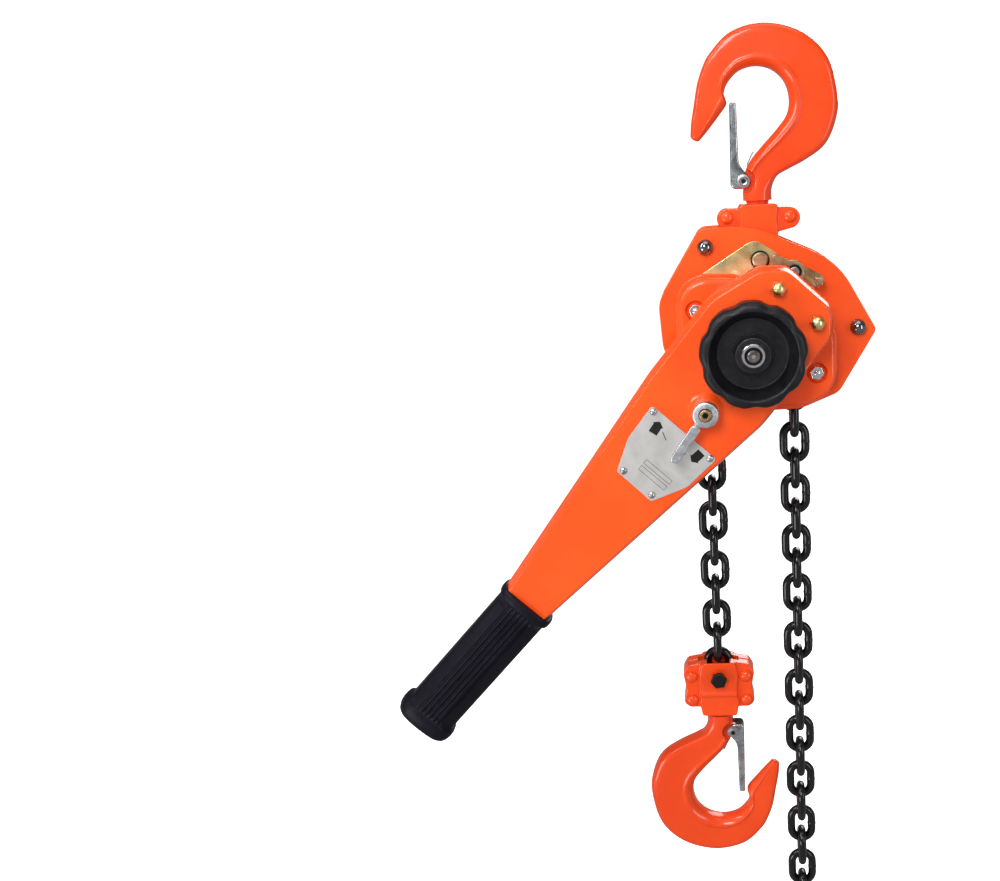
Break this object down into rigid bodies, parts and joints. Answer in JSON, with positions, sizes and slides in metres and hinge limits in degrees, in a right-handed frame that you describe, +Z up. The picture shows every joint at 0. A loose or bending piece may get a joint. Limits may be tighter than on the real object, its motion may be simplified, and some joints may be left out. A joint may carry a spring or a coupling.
{
  "type": "lever chain hoist",
  "caption": "Hand-lever chain hoist with a gear and load-brake housing, ratchet lever, hand wheel, load chain and two swivelling safety hooks.",
  "frame": {"origin": "the point of the top hook's bowl that carries the hoist, on the hook's shank axis", "axes": "+Z up along the hanging hoist, -Y towards the hand wheel and lever, +X to the right as seen from the hand-wheel side"},
  "size_m": [0.3945, 0.1555, 0.8054],
  "materials": {
    "orange_enamel": "satin orange-red enamel",
    "black_oxide": "oiled black oxide",
    "black_rubber": "satin grooved",
    "black_cast": "black paint on a sand-cast surface",
    "bright_zinc": "bright zinc plate",
    "yellow_zinc": "yellow zinc chromate",
    "machined_steel": "machined and greased",
    "friction_lining": "pressed brake lining",
    "brushed_alloy": "brushed"
  },
  "bodies": {
    "frame": {"side_plate_front": "orange_enamel", "side_plate_rear": "orange_enamel", "sheave_bearing_front": "machined_steel", "sheave_bearing_rear": "machined_steel", "stay_bolt_left": "black_oxide", "stay_bolt_right": "black_oxide", "stay_bolt_bottom": "black_oxide", "yoke_pin": "yellow_zinc", "chain_guide": "machined_steel", "gear_cover": "orange_enamel", "friction_disc_inner": "friction_lining", "friction_disc_outer": "friction_lining", "ratchet_disc": "machined_steel", "pawl_plate": "yellow_zinc", "brake_cover": "orange_enamel", "cover_nut_left": "bright_zinc", "cover_nut_right": "bright_zinc", "pawl_post": "machined_steel"},
    "drive": {"drive_shaft": "machined_steel", "brake_hub": "machined_steel", "change_gear": "machined_steel", "hand_wheel": "black_cast", "wheel_nut": "bright_zinc"},
    "sheave": {"load_sheave": "machined_steel", "sheave_chain": "black_oxide", "load_gear": "machined_steel"},
    "disc_upper": {"disc_gear_upper": "machined_steel"},
    "disc_lower": {"disc_gear_lower": "machined_steel"},
    "front_pawl": {"pawl_front": "yellow_zinc"},
    "rear_pawl": {"pawl_rear": "yellow_zinc"},
    "lever": {"lever_front": "orange_enamel", "lever_rear": "orange_enamel", "lever_bolt_upper": "yellow_zinc", "lever_bolt_right": "yellow_zinc", "name_plate": "brushed_alloy", "grip": "black_rubber"},
    "selector": {"change_pawl": "machined_steel", "selector_lever": "bright_zinc"},
    "yoke": {"yoke_front": "orange_enamel", "yoke_rear": "orange_enamel", "yoke_rivet_left": "orange_enamel", "yoke_rivet_right": "orange_enamel"},
    "top_swivel": {"top_hook": "orange_enamel", "top_latch_pin": "machined_steel", "top_latch_spring": "machined_steel"},
    "top_latch": {"top_latch": "bright_zinc"},
    "load_run": {"load_chain": "black_oxide", "anchor_bolt": "black_oxide"},
    "block": {"block_front": "orange_enamel", "block_rear": "orange_enamel", "block_rivet_upper_left": "orange_enamel", "block_rivet_upper_right": "orange_enamel", "block_rivet_lower_left": "orange_enamel", "block_rivet_lower_right": "orange_enamel"},
    "bottom_swivel": {"bottom_hook": "orange_enamel", "bottom_latch_pin": "machined_steel", "bottom_latch_spring": "machined_steel"},
    "bottom_latch": {"bottom_latch": "bright_zinc"},
    "tail_run": {"tail_chain": "black_oxide", "tail_ring": "bright_zinc"}
  },
  "joints": [
    {"name": "sheave_spin", "type": "hinge", "parent": "frame", "child": "sheave", "pos_m": [-0.009, 0, -0.206], "axis": [0, -1, 0], "range_deg": [0, 34]},
    {"name": "drive_spin", "type": "hinge", "parent": "frame", "child": "drive", "pos_m": [-0.009, 0, -0.206], "axis": [0, -1, 0], "range_deg": [0, 363]},
    {"name": "disc_upper_spin", "type": "hinge", "parent": "frame", "child": "disc_upper", "pos_m": [-0.00237, 0, -0.18125], "axis": [0, -1, 0], "range_deg": [-102.5, 0]},
    {"name": "disc_lower_spin", "type": "hinge", "parent": "frame", "child": "disc_lower", "pos_m": [-0.01563, 0, -0.23075], "axis": [0, -1, 0], "range_deg": [-102.5, 0]},
    {"name": "load_run_travel", "type": "slide", "parent": "frame", "child": "load_run", "axis": [0, 0, -1], "range_m": [0, 0.0206]},
    {"name": "tail_run_travel", "type": "slide", "parent": "frame", "child": "tail_run", "axis": [0, 0, 1], "range_m": [0, 0.0206]},
    {"name": "front_pawl_lift", "type": "hinge", "parent": "frame", "child": "front_pawl", "pos_m": [0.025, 0, -0.1515], "axis": [0, 1, 0], "range_deg": [0, 12], "stiffness_Nm_per_rad": 0.3, "springref_deg": -17.19},
    {"name": "rear_pawl_lift", "type": "hinge", "parent": "frame", "child": "rear_pawl", "pos_m": [0.025, 0, -0.1515], "axis": [0, 1, 0], "range_deg": [0, 8], "stiffness_Nm_per_rad": 0.3, "springref_deg": -17.19},
    {"name": "lever_swing", "type": "hinge", "parent": "frame", "child": "lever", "pos_m": [-0.009, 0, -0.206], "axis": [0, 1, 0], "continuous": true},
    {"name": "selector_turn", "type": "hinge", "parent": "lever", "child": "selector", "pos_m": [-0.04507, 0, -0.24894], "axis": [0, 1, 0], "range_deg": [-25, 25]},
    {"name": "yoke_tilt", "type": "hinge", "parent": "frame", "child": "yoke", "pos_m": [0, 0, -0.143], "axis": [0, 1, 0], "range_deg": [-4, 8]},
    {"name": "top_hook_swivel", "type": "hinge", "parent": "yoke", "child": "top_swivel", "pos_m": [0, 0, -0.11], "axis": [0, 0, 1], "continuous": true},
    {"name": "top_latch_open", "type": "hinge", "parent": "top_swivel", "child": "top_latch", "pos_m": [-0.0106, 0, -0.084], "axis": [0, 1, 0], "range_deg": [0, 22], "stiffness_Nm_per_rad": 0.2, "springref_deg": -28.65},
    {"name": "block_swing", "type": "hinge", "parent": "load_run", "child": "block", "pos_m": [-0.043, 0, -0.4921], "axis": [0, 1, 0], "range_deg": [-4, 15]},
    {"name": "bottom_hook_swivel", "type": "hinge", "parent": "block", "child": "bottom_swivel", "pos_m": [-0.043, 0, -0.52], "axis": [0, 0, 1], "range_deg": [-135, 135]},
    {"name": "bottom_latch_open", "type": "hinge", "parent": "bottom_swivel", "child": "bottom_latch", "pos_m": [-0.0324, 0, -0.545], "axis": [0, 1, 0], "range_deg": [0, 22], "stiffness_Nm_per_rad": 0.2, "springref_deg": -28.65}
  ],
  "couplings": [
    {"joint": "drive_spin", "follows": "sheave_spin", "ratio": 10.667},
    {"joint": "disc_upper_spin", "follows": "sheave_spin", "ratio": -3},
    {"joint": "disc_lower_spin", "follows": "sheave_spin", "ratio": -3},
    {"joint": "load_run_travel", "follows": "sheave_spin", "m_per_rad": 0.0344},
    {"joint": "tail_run_travel", "follows": "sheave_spin", "m_per_rad": 0.0344}
  ]
}
